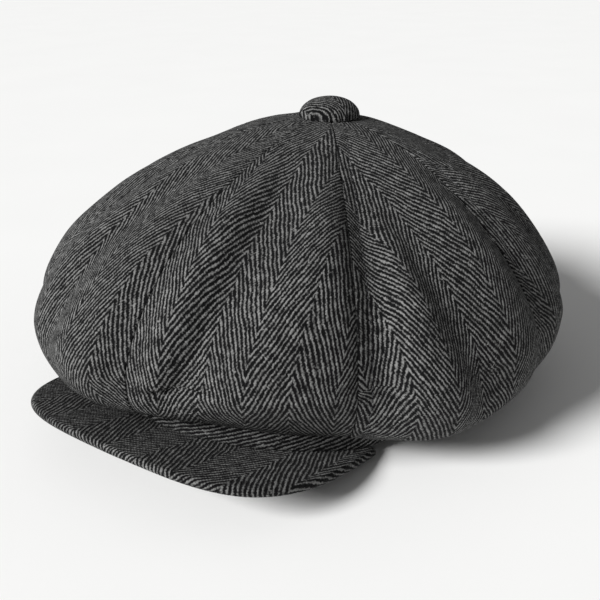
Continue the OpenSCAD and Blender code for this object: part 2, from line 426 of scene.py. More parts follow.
def panel_skin(k, t, s):
    """Outer skin of crown panel k: the crown's surface with rolled seam edges, hollows and soft dents."""
    base = crown(t, s)
    spread = spread_of(t, s)
    first = (t - PANEL_ANGLE * (k - 1)) * spread  # distance from the seam that the panel starts at
    last = (PANEL_ANGLE * k - t) * spread
    near = np.clip(np.minimum(first, last), 0, None)
    half_width = spread * PANEL_ANGLE / 2

    roll = np.minimum(SEAM_ROLL, half_width * 0.45)
    into = 1 - np.clip(near / roll, 0, 1)
    groove = SEAM_DEPTH * np.clip(roll / SEAM_ROLL, 0, 1) * (1 - np.sqrt(np.clip(1 - into**2, 0, 1)))
    height = hollow_height(t, s, spread) - groove

    inside = np.clip(near / 0.012, 0, 1)
    gathered = np.clip((s - 1.62) / 0.38, 0, 1)
    puckered = bell(near, 0.004, 0.005) * np.clip(half_width / 0.02, 0, 1)
    stitched = bell(first, sizes().topstitch_off, 0.0009) * np.clip((half_width - 0.009) / 0.004, 0, 1)
    height = height + DENT * soft(base, 0.052, SEED) + SMALL_DENT * inside * soft(base, 0.021, SEED + 3)
    height = height + GATHER * gathered * soft(base * np.array([1, 1, 0.25]), 0.011, SEED + 5)
    height = height + PUCKER * (puckered * soft(base, 0.0065, SEED + 7) - stitched)
    return base + normals_of(crown, t, s) * height[..., None]


def first_row():
    """Where the rim of the hole in the peak lies between the peak and the widest line."""
    return math.asin(PEAK_HOLE / (sizes().crown_w / 2)) / (math.pi / 2)


def crown_panel(k, material):
    rows = np.concatenate([np.linspace(first_row(), 1, 96, endpoint=False), np.linspace(1, 2, 52)])
    even = np.linspace(0, 1, PANEL_COLUMNS)
    share = 0.75 * (1 - np.cos(even * math.pi)) / 2 + 0.25 * even  # closer together beside the seams
    t, s = np.meshgrid(PANEL_ANGLE * (k - 1 + share), rows, indexing="ij")
    plain = crown(t, s)
    middle = PANEL_COLUMNS // 2
    across = arc_lengths(plain, 0)
    across -= across[middle]
    along = arc_lengths(plain[middle][None], 1).repeat(PANEL_COLUMNS, 0)
    grain = math.radians(GRAIN_TURN[k - 1])
    uv = turned_uv(across, along, grain, GRAIN_SHIFT[k - 1] * MM, 0.0011 * k)
    obj = sheet_from(f"crown_panel_{k}_tweed", panel_skin(k, t, s), sizes().tweed_t, uv, material)
    return soft_piece(obj, "tweed", f"crown_panel_{k}")


# ---------- Stitching ----------

STITCH_FILL = 0.78  # share of the stitch length that shows as thread


def stitch_shape():
    """One stitch as a small ball, one unit across."""
    bpy.ops.object.select_all(action="DESELECT")
    bpy.ops.mesh.primitive_uv_sphere_add(segments=8, ring_count=7, radius=0.5, rotation=(0, math.pi / 2, 0))
    obj = bpy.context.active_object
    bpy.ops.object.transform_apply(location=False, rotation=True, scale=False)
    points = np.array([v.co for v in obj.data.vertices])
    faces = [list(p.vertices) for p in obj.data.polygons]
    bpy.data.objects.remove(obj, do_unlink=True)
    return points, faces


def stitch_row(name, path, up, material, thickness=0.0006, length=None):
    """A row of stitches along a path. up is the outward normal at each point of it."""
    points, faces = stitch_shape()
    length = length or sizes().stitch_l
    travel = arc_lengths(path, 0)
    count = max(2, int(travel[-1] / length))
    marks = (np.arange(count) + 0.5) * travel[-1] / count

    def read(values, places):
        return np.stack([np.interp(places, travel, values[:, i]) for i in range(3)], -1)

    at, normal = read(path, marks), read(up, marks)
    normal /= np.linalg.norm(normal, axis=1, keepdims=True)
    along = read(path, marks + length / 4) - read(path, marks - length / 4)
    along -= (along * normal).sum(1, keepdims=True) * normal
    along /= np.linalg.norm(along, axis=1, keepdims=True)
    side = np.cross(normal, along)
    stitch = points * np.array([length * STITCH_FILL, thickness, thickness])
    stitch[:, 2] -= thickness * 1.4 * (points[:, 0] * 2) ** 2  # both ends dip into the cloth
    vertices, polygons = [], []
    for i in range(count):
        polygons += [[v + i * len(points) for v in face] for face in faces]
        vertices.append(at[i] + stitch @ np.stack([along[i], side[i], normal[i]]))
    obj = new_object(name, np.concatenate(vertices), polygons, material)
    close_mesh(obj.data)
    return obj


def panel_topstitch(k, material):
    """Topstitching just inside the seam that panel k starts at."""
    rows = np.linspace(0.16, 1.93, 240)
    seam = np.full_like(rows, PANEL_ANGLE * (k - 1))
    t = seam + sizes().topstitch_off / spread_of(seam, rows)
    path = panel_skin(k, t, rows)
    up = normals_of(crown, t, rows)
    obj = stitch_row(f"topstitch_{k}", path + up * 0.00012, up, material)
    return soft_piece(obj, "thread")


# ---------- Button ----------

BUTTON_GRAIN = math.radians(66)
PLEATS = 22  # gathers of the cloth round the button's edge


def button_cover(material):
    """A domed button wrapped in tweed, its cloth gathered under the edge."""
    z = sizes()
    radius = z.button_d / 2
    bpy.ops.object.select_all(action="DESELECT")
    bpy.ops.mesh.primitive_uv_sphere_add(segments=96, ring_count=64, radius=1)
    obj = bpy.context.active_object
    obj.name = "button_cover_tweed"
    obj.data.name = obj.name
    bpy.ops.object.mode_set(mode="EDIT")
    bpy.ops.mesh.select_all(action="SELECT")
    bpy.ops.transform.resize(value=(radius, radius, z.button_h))
    bpy.ops.object.mode_set(mode="OBJECT")

    points = np.array([v.co for v in obj.data.vertices])
    flat = np.linalg.norm(points[:, :2], axis=1)
    share = np.clip(flat / radius, 0, 1)
    angle = np.arctan2(points[:, 1], points[:, 0])
    up = points[:, 2] > -1e-9
    top = z.button_h * (1 - share**2.1) ** (1 / 2.2)
    tuck = -0.0018 * (1 - share**4) ** 0.5
    pleats = 0.00035 * np.sin(angle * PLEATS + 1.4 * np.sin(angle * 3)) * share**10
    points[:, 2] = np.where(up, top, tuck)
    points[:, :2] *= (1 + np.where(up, pleats, 1.6 * pleats) / radius)[:, None]
    points[:, 2] += 0.00025 * soft(points, 0.006, SEED + 9) * share
    base = Vector((0, z.peak_back, z.peak_h))
    for vertex, point in zip(obj.data.vertices, points):
        vertex.co = Vector(point) + base

    # The cloth's places run outwards from the middle, over the edge and in underneath.
    over = flat * (1 + 0.22 * share**2)
    under = (radius * 1.22 + (radius - flat)) * 1.15
    reach = np.where(up, over, under) / np.maximum(flat, 1e-9)
    pattern = turned_uv(points[:, 0] * reach, points[:, 1] * reach, BUTTON_GRAIN, 0.0172)
    corners = np.array([loop.vertex_index for loop in obj.data.loops])
    obj.data.uv_layers.remove(obj.data.uv_layers[0])
    map_weave(obj.data, pattern[corners])
    obj.data.shade_smooth()
    obj.data.materials.append(material)
    return riding_piece(obj, "crown", "tweed", "button_cover")


# ---------- Bands ----------

BAND_FOLD = 0.0018  # radius of the fold at the head band's foot


def head_band(name, start, end, columns, material, node):
    """The outer head band: a narrow strip of tweed folded under at its foot, round the stiffener."""
    z = sizes()
    rise = np.linspace(z.band_h + 0.0012, BAND_FOLD, 12)
    swell = -0.0003 * np.sin((rise - BAND_FOLD) / z.band_h * math.pi)
    outside = np.stack([swell, rise], -1)
    turn = np.linspace(math.pi, 2 * math.pi, 9)[1:]
    foot = BAND_FOLD * np.stack([1 + np.cos(turn), 1 + np.sin(turn)], -1)
    hem = np.stack([np.full(4, 2 * BAND_FOLD), np.linspace(BAND_FOLD, 0.0045, 5)[1:]], -1)
    profile = np.concatenate([outside, foot, hem])
    angles = np.linspace(start, end, columns)
    x, y = oval(angles[:, None], profile[None, :, 0])
    skin = np.stack([x, y, lift(angles)[:, None] + profile[None, :, 1]], -1)
    skin += grid_normals(skin) * (0.00022 * soft(skin, 0.009, SEED + 13))[..., None]
    across = arc_lengths(skin[:, :1], 0).repeat(len(profile), 1)
    across -= across[-1] / 2
    along = arc_lengths(skin[:1], 1).repeat(columns, 0)
    obj = sheet_from(name, skin, -z.tweed_t * 0.8, turned_uv(along + 0.0022, across, 0.0), material)
    return soft_piece(obj, "tweed", node)


def inner_strip(name, inside, thickness, low, high, material, slot, node, wavy=0.0):
    """A strip that runs all round inside the head band, with rounded edges."""
    edge = thickness / 2
    a = np.linspace(0, math.pi, 7)
    top = np.stack([inside + edge - edge * np.cos(a), high - edge + edge * np.sin(a)], -1)
    bottom = np.stack([inside + edge + edge * np.cos(a), low + edge - edge * np.sin(a)], -1)
    rise = np.linspace(low + edge, high - edge, 14)[1:-1]
    front = np.stack([np.full_like(rise, inside), rise], -1)
    back = np.stack([np.full_like(rise, inside + thickness), rise[::-1]], -1)
    profile = np.concatenate([front, top, back, bottom])
    angles = np.linspace(0, 2 * math.pi, 361)[:-1]
    x, y = oval(angles[:, None], profile[None, :, 0])
    share = np.clip((profile[None, :, 1] - low) / (high - low), 0, 1)
    wave = np.sin(angles * 5 + 0.6)[:, None] + 0.6 * np.sin(angles * 11)[:, None]
    x, y = x * (1 - wavy * share * wave), y * (1 - wavy * share * wave)
    ring_points = np.stack([x, y, lift(angles)[:, None] + profile[None, :, 1]], -1)

    count, rows = ring_points.shape[:2]
    index = np.arange(count * rows).reshape(count, rows)
    after = np.roll(index, -1, 0)
    faces = np.stack([index, after, np.roll(after, -1, 1), np.roll(index, -1, 1)], -1).reshape(-1, 4)
    obj = new_object(name, ring_points.reshape(-1, 3), faces.tolist(), material)
    loop = np.concatenate([ring_points, ring_points[:1]])
    around = arc_lengths(loop[:, 0], 0)
    u = np.stack([around[:-1], around[1:], around[1:], around[:-1]], -1)[:, None].repeat(rows, 1)
    v, v_after = profile[:, 1], np.roll(profile[:, 1], -1)
    v = np.stack([v, v, v_after, v_after], -1)[None].repeat(count, 0)
    map_weave(obj.data, np.stack([u, v], -1))
    close_mesh(obj.data)
    return soft_piece(obj, slot, node)


# ---------- Visor ----------

SEAM_INSET = 0.0022  # how far inside the head band the visor's seam runs
VISOR_CLEAR = 0.0004  # gap between the head band and the visor's top cloth
EDGE_WRAP = 0.0021  # radius of the top cloth's turn over the visor's edge
UNDER_INSET = 0.0052  # how far the under cloth stops short of the edge
UNDER_DROP = 0.0042  # how far the under cloth lies below the top one


def visor_edge(u):
    """Plan outline of the visor: (x, forward) at u from -1 to 1."""
    z = sizes()
    end_x, end_y = oval(z.visor_end)
    tip = z.band_l / 2 + z.visor_reach
    a = np.pi / 2 * np.abs(u)
    m = 2 / z.visor_square
    x = np.sign(u) * (end_x + 0.003) * np.sin(a) ** m
    forward = -end_y + (tip + end_y) * np.clip(np.cos(a), 0, 1) ** m
    return np.stack([x, forward], -1)


def visor_spacing(count):
    """Steps across the visor that come closer together where its outline turns."""
    even = np.linspace(-1, 1, 2001)
    travel = arc_lengths(visor_edge(even), 0)
    return np.interp(np.linspace(0, travel[-1], count), travel, even)


def visor_skin(name, material, node, inset, drop, wrapped):
    """One cloth of the visor. The top cloth wraps over the edge; the under cloth stops short of it."""
    z = sizes()
    u = visor_spacing(181)
    seam_x, seam_y = oval(u * z.visor_end, SEAM_INSET)
    seam, edge = np.stack([seam_x, -seam_y], -1), visor_edge(u)
    gap = np.linalg.norm(edge - seam, axis=-1)
    ray = (edge - seam) / gap[:, None]
    stop = np.minimum(inset, gap * 0.42)
    # Each row is a distance out from the seam and a depth below the visor's top surface.
    rows = [(share * (gap - stop), drop) for share in np.linspace(0, 1, 26)]
    if wrapped:
        for a in np.linspace(0, math.pi, 12)[1:]:
            out = gap - stop + np.minimum(EDGE_WRAP, stop) * math.sin(a)
            rows.append((out, drop + EDGE_WRAP * (1 - math.cos(a))))
        for back in (0.001, 0.002, 0.003):
            out = gap - stop - back * np.clip(gap / 0.02, 0.1, 1)
            rows.append((out, drop + 2 * EDGE_WRAP))
    out = np.stack([row[0] for row in rows], 1)
    below = np.array([row[1] for row in rows])
    x, forward = np.moveaxis(seam[:, None] + ray[:, None] * out[..., None], -1, 0)
    flare = math.tan(z.visor_flare) * np.clip(out - SEAM_INSET, 0, None)
    skin = np.stack([x, -forward, visor_height(x, forward) + flare - below], -1)
    skin[..., 2] += 0.0004 * soft(skin, 0.03, SEED + 17)
    flat = seam[:, None] + ray[:, None] * arc_lengths(skin, 1)[..., None]
    thickness = z.tweed_t * 0.8
    if wrapped:
        obj = sheet_from(name, skin, thickness, flat, material)
    else:
        obj = slab(name, skin, skin + np.array([0, 0, thickness]), flat, material)
    return riding_piece(obj, "visor", "tweed", node)


# ---------- Lining ----------


def lining_skin(t, s):
    """The lining: it follows the crown's hollows and creases softly at its own seams."""
    base = lining(t, s)
    crease = 0.0009 * (1 - np.abs(np.sin(t * PANELS / 2))) ** 6
    folds = np.abs(0.0016 * soft(base * np.array([1, 1, 0.5]), 0.03, SEED + 21))
    fine = np.abs(0.0005 * soft(base, 0.009, SEED + 23))
    calm = np.clip((2 - s) / 0.2, 0, 1)
    inwards = crease - hollow_height(t, s, spread_of(t, s)) + (folds + fine) * calm
    return base - normals_of(lining, t, s) * inwards[..., None]


GORE_COLUMNS = 33


def lining_gore(k, material):
    angles = np.linspace(PANEL_ANGLE * (k - 1), PANEL_ANGLE * k, GORE_COLUMNS)
    t, s = np.meshgrid(angles, np.linspace(first_row(), 2, 90), indexing="ij")
    skin = lining_skin(t, s)
    middle = GORE_COLUMNS // 2
    across = arc_lengths(skin, 0)
    across -= across[middle]
    along = arc_lengths(skin[middle][None], 1).repeat(GORE_COLUMNS, 0)
    uv = turned_uv(across, along, 0)
    obj = sheet_from(f"lining_gore_{k}_satin", skin, sizes().lining_t, uv, material)
    return soft_piece(obj, "lining", f"lining_gore_{k}")


LABEL_TURN = math.radians(11)  # half of the label's width, as a plan angle
LABEL_ROWS = (0.43, 0.61)
LABEL_GRID = (41, 31)


def lining_label(material, thread):
    """A blank label with folded edges, stitched all round to the lining at the back."""
    columns, rows = LABEL_GRID
    angles = np.linspace(math.pi - LABEL_TURN, math.pi + LABEL_TURN, columns)
    t, s = np.meshgrid(angles, np.linspace(*LABEL_ROWS, rows), indexing="ij")
    inward = normals_of(lining, t, s)
    i, j = np.indices(LABEL_GRID)
    edge = np.minimum(np.minimum(i, columns - 1 - i), np.minimum(j, rows - 1 - j))
    fold = 0.00025 * np.clip(1 - edge / 3, 0, 1)
    skin = lining_skin(t, s) - inward * 0.0012 + inward * fold[..., None]
    uv = turned_uv(arc_lengths(skin, 0) - 0.017, arc_lengths(skin, 1), 0)
    obj = slab("woven_label", skin, skin - inward * 0.0006, uv, material)
    riding_piece(obj, "crown", "label", "lining_label")

    def border(grid):
        sides = grid[2:-2, 2], grid[-3, 2:-2], grid[2:-2, -3][::-1], grid[2, 2:-2][::-1]
        return np.concatenate(sides)

    up = -normals_of(lining, border(t), border(s))
    path = lining_skin(border(t), border(s)) + up * 0.0019
    row = stitch_row("label_stitching", path, up, thread, 0.0004, 0.0024)
    riding_piece(row, "crown", "thread")


# ---------- Materials ----------


def linear(hex_colour):
    """sRGB hex to linear RGBA."""
    parts = [int(hex_colour[i : i + 2], 16) / 255 for i in (0, 2, 4)]
    return (*[c / 12.92 if c <= 0.04045 else ((c + 0.055) / 1.055) ** 2.4 for c in parts], 1.0)


def shaded(colour, factor):
    """A linear colour made darker or lighter."""
    return (*[min(1, x * factor) for x in colour[:3]], 1.0)


def add(tree, kind, inputs=None, output=0, stops=(), **settings):
    """Adds a node with its settings and inputs, which are values or other nodes' outputs. stops are the
    (place, linear colour) pairs of a colour ramp."""
    node = tree.nodes.new(kind)
    for key, value in settings.items():
        setattr(node, key, value)
    for key, value in (inputs or {}).items():
        if isinstance(value, bpy.types.NodeSocket):
            tree.links.new(value, node.inputs[key])
        else:
            node.inputs[key].default_value = value
    for _ in stops[2:]:
        node.color_ramp.elements.new(0.5)
    for i, (place, shade) in enumerate(stops):
        node.color_ramp.elements[i].position = place
        node.color_ramp.elements[i].color = shade
    return node.outputs[output]


def new_material(name):
    """A new material with an empty tree, and its Principled shader."""
    made = bpy.data.materials.new(name)
    made.use_nodes = True
    tree = made.node_tree
    tree.nodes.clear()
    shader = tree.nodes.new("ShaderNodeBsdfPrincipled")
    output = tree.nodes.new("ShaderNodeOutputMaterial")
    tree.links.new(shader.outputs[0], output.inputs[0])
    return made, tree, shader


COLUMN_W = 0.0178  # width of one column of the herringbone
PITCH_ALONG = 0.0046  # distance between its lines, along a column
PITCH_ACROSS = 0.00195  # the same, across a column
YARN_PITCH = 0.0013  # length of one twist of the yarn
NEP = 0.0007  # size of the loose fibres, drawn a little coarser than real ones


def wool_tweed():
    """Woollen herringbone tweed: light and charcoal yarns in zigzag columns, with loose fibres."""
    c = colours()
    made, tree, shader = new_material("wool_herringbone_tweed")
    place = add(tree, "ShaderNodeTexCoord", output="Object")
    cloth = add(tree, "ShaderNodeUVMap", uv_map="weave")

    sway = add(tree, "ShaderNodeTexNoise", {"Vector": place, "Scale": 1 / 0.016, "Detail": 1.0}, "Color")
    sway = add(tree, "ShaderNodeVectorMath", {0: sway, 1: (0.5, 0.5, 0.5)}, operation="SUBTRACT")
    sway = add(tree, "ShaderNodeVectorMath", {0: sway, "Scale": 0.0030}, operation="SCALE")
    jitter = add(tree, "ShaderNodeTexNoise", {"Vector": place, "Scale": 1 / 0.0013, "Detail": 2.0}, "Color")
    jitter = add(tree, "ShaderNodeVectorMath", {0: jitter, 1: (0.5, 0.5, 0.5)}, operation="SUBTRACT")
    jitter = add(tree, "ShaderNodeVectorMath", {0: jitter, "Scale": 0.0012}, operation="SCALE")
    moved = add(tree, "ShaderNodeVectorMath", {0: cloth, 1: sway}, operation="ADD")
    moved = add(tree, "ShaderNodeVectorMath", {0: moved, 1: jitter}, operation="ADD")
    split = add(tree, "ShaderNodeSeparateXYZ", {"Vector": moved}).node
    u, v = split.outputs[0], split.outputs[1]

    # The lines climb one way in a column and the other way in the next.
    zigzag = add(tree, "ShaderNodeMath", {0: u, 1: COLUMN_W}, operation="PINGPONG")
    climb = add(tree, "ShaderNodeMath", {0: zigzag, 1: 1 / PITCH_ACROSS}, operation="MULTIPLY")
    lines = add(tree, "ShaderNodeMath", {0: v, 1: 1 / PITCH_ALONG, 2: climb}, operation="MULTIPLY_ADD")
    turns = add(tree, "ShaderNodeMath", {0: lines, 1: 2 * math.pi}, operation="MULTIPLY")
    wave = add(tree, "ShaderNodeMath", {0: turns}, operation="SINE")

    # Distance along a line, for the yarn's twist and its thick and thin places.
    lean = math.atan2(PITCH_ACROSS, PITCH_ALONG)
    run = add(tree, "ShaderNodeMath", {0: v, 1: -math.cos(lean)}, operation="MULTIPLY")
    run = add(tree, "ShaderNodeMath", {0: zigzag, 1: math.sin(lean), 2: run}, operation="MULTIPLY_ADD")
    twist = add(tree, "ShaderNodeMath", {0: run, 1: 2 * math.pi / YARN_PITCH}, operation="MULTIPLY")
    twist = add(tree, "ShaderNodeMath", {0: turns, 1: 0.5, 2: twist}, operation="MULTIPLY_ADD")
    twist = add(tree, "ShaderNodeMath", {0: twist}, operation="SINE")
    column = add(tree, "ShaderNodeMath", {0: u, 1: 1 / COLUMN_W}, operation="MULTIPLY")
    column = add(tree, "ShaderNodeMath", {0: column}, operation="FLOOR")
    long_run = add(tree, "ShaderNodeMath", {0: run, 1: 1 / 0.0045}, operation="MULTIPLY")
    yarn_place = add(tree, "ShaderNodeCombineXYZ", {"X": lines, "Y": long_run, "Z": column})
    lumps = {"Vector": yarn_place, "Scale": 1.0, "Detail": 2.0, "Roughness": 0.6}
    slub = add(tree, "ShaderNodeTexNoise", lumps)
    fibre = add(
        tree,
        "ShaderNodeTexNoise",
        {"Vector": place, "Scale": 1 / NEP, "Detail": 3.0, "Roughness": 0.7, "Distortion": 0.6},
    )

    mixed = add(tree, "ShaderNodeMath", {0: wave, 1: 0.33, 2: 0.5}, operation="MULTIPLY_ADD")
    slub_part = add(tree, "ShaderNodeMath", {0: slub, 1: 1.1, 2: -0.55}, operation="MULTIPLY_ADD")
    mixed = add(tree, "ShaderNodeMath", {0: mixed, 1: slub_part}, operation="ADD")
    fibre_part = add(tree, "ShaderNodeMath", {0: fibre, 1: 0.95, 2: -0.475}, operation="MULTIPLY_ADD")
    mixed = add(tree, "ShaderNodeMath", {0: mixed, 1: fibre_part}, operation="ADD")
    mixed = add(tree, "ShaderNodeMath", {0: twist, 1: 0.06, 2: mixed}, operation="MULTIPLY_ADD")
    # Loose light fibres, here and there.
    lint = add(tree, "ShaderNodeTexNoise", {"Vector": place, "Scale": 1 / 0.0018, "Detail": 1.0})
    lint = add(tree, "ShaderNodeMapRange", {"Value": lint, 1: 0.66, 2: 0.80, 3: 0.0, 4: 0.55})
    mixed = add(tree, "ShaderNodeMath", {0: mixed, 1: lint}, operation="ADD")
    yarn_colours = (
        (0.28, linear(c.tweed_dark)),
        (0.48, linear(c.tweed_mid)),
        (0.66, linear(c.tweed_light)),
        (0.95, linear(c.tweed_top)),
    )
    yarn = add(tree, "ShaderNodeValToRGB", {"Fac": mixed}, stops=yarn_colours)
    # Brushed, slightly faded patches.
    patch = add(tree, "ShaderNodeTexNoise", {"Vector": place, "Scale": 1 / 0.045, "Detail": 3.0})
    patch = add(tree, "ShaderNodeMapRange", {"Value": patch, 1: 0.3, 2: 0.7, 3: 0.84, 4: 1.14})
    yarn = add(tree, "ShaderNodeVectorMath", {0: yarn, "Scale": patch}, operation="SCALE")
    tree.links.new(yarn, shader.inputs["Base Color"])

    relief = add(tree, "ShaderNodeMath", {0: wave, 1: 0.30}, operation="MULTIPLY")
    relief = add(tree, "ShaderNodeMath", {0: twist, 1: 0.10, 2: relief}, operation="MULTIPLY_ADD")
    relief = add(tree, "ShaderNodeMath", {0: fibre, 1: 0.9, 2: relief}, operation="MULTIPLY_ADD")
    relief = add(tree, "ShaderNodeMath", {0: slub, 1: 0.35, 2: relief}, operation="MULTIPLY_ADD")
    bump = add(tree, "ShaderNodeBump", {"Height": relief, "Strength": 0.85, "Distance": 0.00055})
    tree.links.new(bump, shader.inputs["Normal"])
    rough = add(tree, "ShaderNodeMapRange", {"Value": fibre, 1: 0.2, 2: 0.8, 3: 0.82, 4: 1.0})
    tree.links.new(rough, shader.inputs["Roughness"])
    shader.inputs["Specular IOR Level"].default_value = 0.1
    shader.inputs["Sheen Weight"].default_value = 0.02
    shader.inputs["Sheen Roughness"].default_value = 0.6
    return made


def sewing_thread():
    """Spun polyester thread: twisted plies, a soft shine."""
    made, tree, shader = new_material("spun_polyester_thread")
    place = add(tree, "ShaderNodeTexCoord", output="Object")
    ply = add(
        tree,
        "ShaderNodeTexWave",
        {"Vector": place, "Scale": 1 / 0.0016, "Distortion": 1.5, "Detail": 1.0},
        "Fac",
        bands_direction="DIAGONAL",
    )
    # The colour follows the plies: painted shade between them and a painted highlight on their crowns.
    shade = linear(colours().thread)
    stops = ((0.2, shade), (0.9, shaded(shade, 2.6)))
    tint = add(tree, "ShaderNodeValToRGB", {"Fac": ply}, stops=stops)
    tree.links.new(tint, shader.inputs["Base Color"])
    bump = add(tree, "ShaderNodeBump", {"Height": ply, "Strength": 0.6, "Distance": 0.00012})
    tree.links.new(bump, shader.inputs["Normal"])
    shader.inputs["Roughness"].default_value = 0.55
    return made


def satin_lining():
    """Viscose satin: long floats that shine along one way, over a fine twill."""
    made, tree, shader = new_material("viscose_satin")
    cloth = add(tree, "ShaderNodeUVMap", uv_map="weave")
    place = add(tree, "ShaderNodeTexCoord", output="Object")
    # The real weave is about 0.15 mm; it is drawn at 0.8 mm so that it shows.
    stretch = {0: cloth, 1: (1 / 0.0008, 1 / 0.006, 1.0)}
    long = add(tree, "ShaderNodeVectorMath", stretch, operation="MULTIPLY")
    floats = add(tree, "ShaderNodeTexNoise", {"Vector": long, "Scale": 1.0, "Detail": 2.0})
    cloud = add(tree, "ShaderNodeTexNoise", {"Vector": place, "Scale": 1 / 0.02, "Detail": 2.0})
    # The colour is lighter where the floats stand up: painted sheen along them, beside the real shine of
    # the anisotropic reflection.
    shade = linear(colours().lining)
    stops = ((0.3, shade), (0.7, shaded(shade, 1.9)))
    tint = add(tree, "ShaderNodeValToRGB", {"Fac": floats}, stops=stops)
    tree.links.new(tint, shader.inputs["Base Color"])
    rough = add(tree, "ShaderNodeMapRange", {"Value": cloud, 1: 0.3, 2: 0.7, 3: 0.34, 4: 0.48})
    tree.links.new(rough, shader.inputs["Roughness"])
    bump = add(tree, "ShaderNodeBump", {"Height": floats, "Strength": 0.35, "Distance": 0.0002})
    tree.links.new(bump, shader.inputs["Normal"])
    shader.inputs["Anisotropic"].default_value = 0.5
    return made


def ribbed_cotton():
    """Cotton grosgrain: upright ribs of a hard-twisted yarn, matt."""
    made, tree, shader = new_material("cotton_grosgrain")
    cloth = add(tree, "ShaderNodeUVMap", uv_map="weave")
    place = add(tree, "ShaderNodeTexCoord", output="Object")
    split = add(tree, "ShaderNodeSeparateXYZ", {"Vector": cloth}).node
    rib = add(tree, "ShaderNodeMath", {0: split.outputs[0], 1: 2 * math.pi / 0.0014}, operation="MULTIPLY")
    rib = add(tree, "ShaderNodeMath", {0: rib}, operation="SINE")
    weft = add(tree, "ShaderNodeMath", {0: split.outputs[1], 1: 2 * math.pi / 0.0009}, operation="MULTIPLY")
    weft = add(tree, "ShaderNodeMath", {0: weft}, operation="SINE")
    fuzz = add(tree, "ShaderNodeTexNoise", {"Vector": place, "Scale": 1 / 0.0009, "Detail": 3.0})
    height = add(tree, "ShaderNodeMath", {0: weft, 1: 0.18, 2: rib}, operation="MULTIPLY_ADD")
    height = add(tree, "ShaderNodeMath", {0: fuzz, 1: 0.9, 2: height}, operation="MULTIPLY_ADD")
    # The colour follows the height: painted shade in the grooves between the ribs and a painted highlight
    # on their tops, over the real random tone of the fuzz.
    rib_shade_and_fuzz = add(tree, "ShaderNodeMapRange", {"Value": height, 1: -1.0, 2: 1.9, 3: 0.0, 4: 1.0})
    shade = linear(colours().sweatband)
    stops = ((0.1, shaded(shade, 0.45)), (0.5, shade), (0.95, shaded(shade, 2.2)))
    tint = add(tree, "ShaderNodeValToRGB", {"Fac": rib_shade_and_fuzz}, stops=stops)
    tree.links.new(tint, shader.inputs["Base Color"])
    bump = add(tree, "ShaderNodeBump", {"Height": height, "Strength": 0.7, "Distance": 0.0003})
    tree.links.new(bump, shader.inputs["Normal"])
    shader.inputs["Roughness"].default_value = 0.85
    shader.inputs["Sheen Weight"].default_value = 0.1
    return made


def plain_weave(name, shade_hex, yarn, roughness):
    """Plain-woven cloth: over-and-under yarns of one colour, with thick and thin places."""
    made, tree, shader = new_material(name)
    cloth = add(tree, "ShaderNodeUVMap", uv_map="weave")
    split = add(tree, "ShaderNodeSeparateXYZ", {"Vector": cloth}).node
    warp = add(tree, "ShaderNodeMath", {0: split.outputs[0], 1: math.pi / yarn}, operation="MULTIPLY")
    weft = add(tree, "ShaderNodeMath", {0: split.outputs[1], 1: math.pi / yarn}, operation="MULTIPLY")
    warp = add(tree, "ShaderNodeMath", {0: warp}, operation="SINE")
    weft = add(tree, "ShaderNodeMath", {0: weft}, operation="SINE")
    over = add(tree, "ShaderNodeMath", {0: warp, 1: weft}, operation="MULTIPLY")
    place = add(tree, "ShaderNodeTexCoord", output="Object")
    slub = add(tree, "ShaderNodeTexNoise", {"Vector": place, "Scale": 1 / (yarn * 3), "Detail": 3.0})
    height = add(tree, "ShaderNodeMath", {0: over, 1: 0.4, 2: slub}, operation="MULTIPLY_ADD")
    # The colour follows the height: painted shade where the yarns dip under each other, and the real thick
    # and thin places of the slubs.
    shade = linear(shade_hex)
    stops = ((0.15, shaded(shade, 0.55)), (0.5, shade), (0.85, shaded(shade, 1.25)))
    tint = add(tree, "ShaderNodeValToRGB", {"Fac": height}, stops=stops)
    tree.links.new(tint, shader.inputs["Base Color"])
    bump = add(tree, "ShaderNodeBump", {"Height": height, "Strength": 0.6, "Distance": 0.0002})
    tree.links.new(bump, shader.inputs["Normal"])
    shader.inputs["Roughness"].default_value = roughness
    return made


def tinned_steel():
    """Tinned sheet steel: dull silver, fine rolling marks and small stains."""
    made, tree, shader = new_material("tinned_sheet_steel")
    place = add(tree, "ShaderNodeTexCoord", output="Object")
    drawn = add(tree, "ShaderNodeMapping", {"Vector": place, "Scale": (1 / 0.0004, 1 / 0.004, 1 / 0.0004)})
    marks = add(tree, "ShaderNodeTexNoise", {"Vector": drawn, "Scale": 1.0, "Detail": 2.0})
    stain = add(tree, "ShaderNodeTexNoise", {"Vector": place, "Scale": 1 / 0.003, "Detail": 3.0})
    shade = linear(colours().metal)
    stops = ((0.35, shaded(shade, 0.6)), (0.6, shade))
    tint = add(tree, "ShaderNodeValToRGB", {"Fac": stain}, stops=stops)
    tree.links.new(tint, shader.inputs["Base Color"])
    rough = add(tree, "ShaderNodeMapRange", {"Value": marks, 1: 0.3, 2: 0.7, 3: 0.28, 4: 0.5})
    tree.links.new(rough, shader.inputs["Roughness"])
    bump = add(tree, "ShaderNodeBump", {"Height": marks, "Strength": 0.3, "Distance": 0.00005})
    tree.links.new(bump, shader.inputs["Normal"])
    shader.inputs["Metallic"].default_value = 1.0
    return made


def visor_board_plastic():
    """Calendered polyethylene board: waxy, faintly pebbled."""
    made, tree, shader = new_material("calendered_polyethylene")
    place = add(tree, "ShaderNodeTexCoord", output="Object")
    pebble = add(tree, "ShaderNodeTexVoronoi", {"Vector": place, "Scale": 1 / 0.0012})
    cloud = add(tree, "ShaderNodeTexNoise", {"Vector": place, "Scale": 1 / 0.01, "Detail": 2.0})
    shade = linear(colours().board)
    stops = ((0.3, shade), (0.7, shaded(shade, 1.5)))
    tint = add(tree, "ShaderNodeValToRGB", {"Fac": cloud}, stops=stops)
    tree.links.new(tint, shader.inputs["Base Color"])
    bump = add(tree, "ShaderNodeBump", {"Height": pebble, "Strength": 0.4, "Distance": 0.0001})
    tree.links.new(bump, shader.inputs["Normal"])
    shader.inputs["Roughness"].default_value = 0.5
    return made


